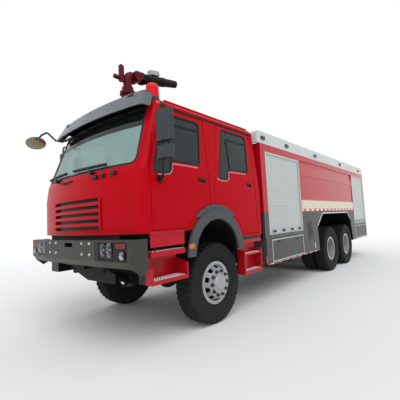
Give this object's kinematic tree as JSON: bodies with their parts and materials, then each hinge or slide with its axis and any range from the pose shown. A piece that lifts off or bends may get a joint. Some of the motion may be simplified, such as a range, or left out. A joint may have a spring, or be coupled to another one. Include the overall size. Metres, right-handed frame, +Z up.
{
  "type": "fire truck",
  "caption": "Crew-cab fire truck on a three-axle chassis: hollow cab with hinged doors, closed body with roller shutters and drop flaps, and a water monitor on the cab roof.",
  "frame": {"origin": "on the ground, under the middle of the truck's length and width", "axes": "+X forward, +Y to the truck's left, +Z up"},
  "size_m": [10.3347, 3.0426, 4.108],
  "materials": {
    "red_paint": "gloss",
    "roof_red": "gloss",
    "dark_grey_plastic": "satin",
    "slate_plastic": "satin",
    "bumper_grey": "satin",
    "lower_body_grey": "satin",
    "rail_grey": "satin",
    "shutter_aluminium": "satin",
    "chassis_black": "satin",
    "engine_iron": "rough",
    "tyre_rubber": "rough",
    "rim_silver": "satin",
    "window_glass": "gloss",
    "lamp_clear": "gloss",
    "seat_cloth": "woven",
    "monitor_black": "satin",
    "monitor_red": "gloss"
  },
  "bodies": {
    "truck": {"chassis_frame": "chassis_black", "tow_jaws": "chassis_black", "leaf_springs": "chassis_black", "drive_line": "engine_iron", "front_axle": "chassis_black", "rear_axles": "chassis_black", "cab_front": "red_paint", "cab_sides": "red_paint", "cab_back": "red_paint", "cab_roof": "roof_red", "cab_floor": "chassis_black", "windscreen": "window_glass", "rear_window": "window_glass", "grille": "red_paint", "bumper": "bumper_grey", "lamps": "lamp_clear", "fender_flares": "dark_grey_plastic", "cab_steps": "red_paint", "sun_visor": "slate_plastic", "seats": "seat_cloth", "dashboard": "dark_grey_plastic", "wipers": "dark_grey_plastic", "front_mirror": "slate_plastic", "monitor_base": "monitor_red", "body_shell": "red_paint", "body_rail": "rail_grey", "body_skirts": "lower_body_grey", "shutters": "shutter_aluminium", "body_fittings": "shutter_aluminium"},
    "steering_link": {"track_rod": "chassis_black"},
    "steer_left": {"knuckle_left": "chassis_black"},
    "front_wheel_left": {"front_tyre_left": "tyre_rubber", "front_rim_left": "rim_silver"},
    "middle_wheels_left": {"middle_tyres_left": "tyre_rubber", "middle_rims_left": "rim_silver"},
    "rear_wheels_left": {"rear_tyres_left": "tyre_rubber", "rear_rims_left": "rim_silver"},
    "front_door_left": {"door_left": "red_paint", "door_glass_left": "window_glass", "mirror_left": "slate_plastic"},
    "rear_door_left": {"crew_door_left": "red_paint", "crew_door_glass_left": "window_glass"},
    "locker_flap_front_left": {"front_flap_left": "lower_body_grey"},
    "locker_flap_rear_left": {"rear_flap_left": "lower_body_grey"},
    "steer_right": {"knuckle_right": "chassis_black"},
    "front_wheel_right": {"front_tyre_right": "tyre_rubber", "front_rim_right": "rim_silver"},
    "middle_wheels_right": {"middle_tyres_right": "tyre_rubber", "middle_rims_right": "rim_silver"},
    "rear_wheels_right": {"rear_tyres_right": "tyre_rubber", "rear_rims_right": "rim_silver"},
    "front_door_right": {"door_right": "red_paint", "door_glass_right": "window_glass", "mirror_right": "slate_plastic"},
    "rear_door_right": {"crew_door_right": "red_paint", "crew_door_glass_right": "window_glass"},
    "locker_flap_front_right": {"front_flap_right": "lower_body_grey"},
    "locker_flap_rear_right": {"rear_flap_right": "lower_body_grey"},
    "monitor_head": {"monitor_swivel": "monitor_black"},
    "monitor_gun": {"monitor_barrel": "monitor_black"}
  },
  "joints": [
    {"name": "steer_left", "type": "hinge", "parent": "truck", "child": "steer_left", "pos_m": [3.535, 0.86, 0.5625], "axis": [0, 0, 1], "range_deg": [-32, 32]},
    {"name": "front_spin_left", "type": "hinge", "parent": "steer_left", "child": "front_wheel_left", "pos_m": [3.535, 1.015, 0.5625], "axis": [0, 1, 0], "continuous": true},
    {"name": "middle_spin_left", "type": "hinge", "parent": "truck", "child": "middle_wheels_left", "pos_m": [-1.265, 0.91, 0.5625], "axis": [0, 1, 0], "continuous": true},
    {"name": "rear_spin_left", "type": "hinge", "parent": "truck", "child": "rear_wheels_left", "pos_m": [-2.615, 0.91, 0.5625], "axis": [0, 1, 0], "continuous": true},
    {"name": "front_door_hinge_left", "type": "hinge", "parent": "truck", "child": "front_door_left", "pos_m": [4.76, 1.243, 2], "axis": [0, 0, -1], "range_deg": [0, 70]},
    {"name": "rear_door_hinge_left", "type": "hinge", "parent": "truck", "child": "rear_door_left", "pos_m": [3.607, 1.243, 2], "axis": [0, 0, -1], "range_deg": [0, 70]},
    {"name": "front_flap_hinge_left", "type": "hinge", "parent": "truck", "child": "locker_flap_front_left", "pos_m": [1.29, 1.25, 0.637], "axis": [-1, 0, 0], "range_deg": [0, 90]},
    {"name": "rear_flap_hinge_left", "type": "hinge", "parent": "truck", "child": "locker_flap_rear_left", "pos_m": [-4.2825, 1.25, 0.637], "axis": [-1, 0, 0], "range_deg": [0, 90]},
    {"name": "steer_right", "type": "hinge", "parent": "truck", "child": "steer_right", "pos_m": [3.535, -0.86, 0.5625], "axis": [0, 0, 1], "range_deg": [-32, 32]},
    {"name": "front_spin_right", "type": "hinge", "parent": "steer_right", "child": "front_wheel_right", "pos_m": [3.535, -1.015, 0.5625], "axis": [0, 1, 0], "continuous": true},
    {"name": "middle_spin_right", "type": "hinge", "parent": "truck", "child": "middle_wheels_right", "pos_m": [-1.265, -0.91, 0.5625], "axis": [0, 1, 0], "continuous": true},
    {"name": "rear_spin_right", "type": "hinge", "parent": "truck", "child": "rear_wheels_right", "pos_m": [-2.615, -0.91, 0.5625], "axis": [0, 1, 0], "continuous": true},
    {"name": "front_door_hinge_right", "type": "hinge", "parent": "truck", "child": "front_door_right", "pos_m": [4.76, -1.243, 2], "axis": [0, 0, 1], "range_deg": [0, 70]},
    {"name": "rear_door_hinge_right", "type": "hinge", "parent": "truck", "child": "rear_door_right", "pos_m": [3.607, -1.243, 2], "axis": [0, 0, 1], "range_deg": [0, 70]},
    {"name": "front_flap_hinge_right", "type": "hinge", "parent": "truck", "child": "locker_flap_front_right", "pos_m": [1.29, -1.25, 0.637], "axis": [1, 0, 0], "range_deg": [0, 90]},
    {"name": "rear_flap_hinge_right", "type": "hinge", "parent": "truck", "child": "locker_flap_rear_right", "pos_m": [-4.2825, -1.25, 0.637], "axis": [1, 0, 0], "range_deg": [0, 90]},
    {"name": "track_rod_slide", "type": "slide", "parent": "truck", "child": "steering_link", "axis": [0, -1, 0], "range_m": [-0.1, 0.1]},
    {"name": "monitor_turn", "type": "hinge", "parent": "truck", "child": "monitor_head", "pos_m": [4.115, 0, 3.56], "axis": [0, 0, 1], "range_deg": [-170, 170]},
    {"name": "monitor_tilt", "type": "hinge", "parent": "monitor_head", "child": "monitor_gun", "pos_m": [3.965, 0, 3.84], "axis": [0, 1, 0], "range_deg": [-41, 59]}
  ],
  "couplings": [
    {"joint": "steer_right", "follows": "steer_left", "ratio": 1},
    {"joint": "track_rod_slide", "follows": "steer_left", "m_per_rad": 0.165}
  ]
}
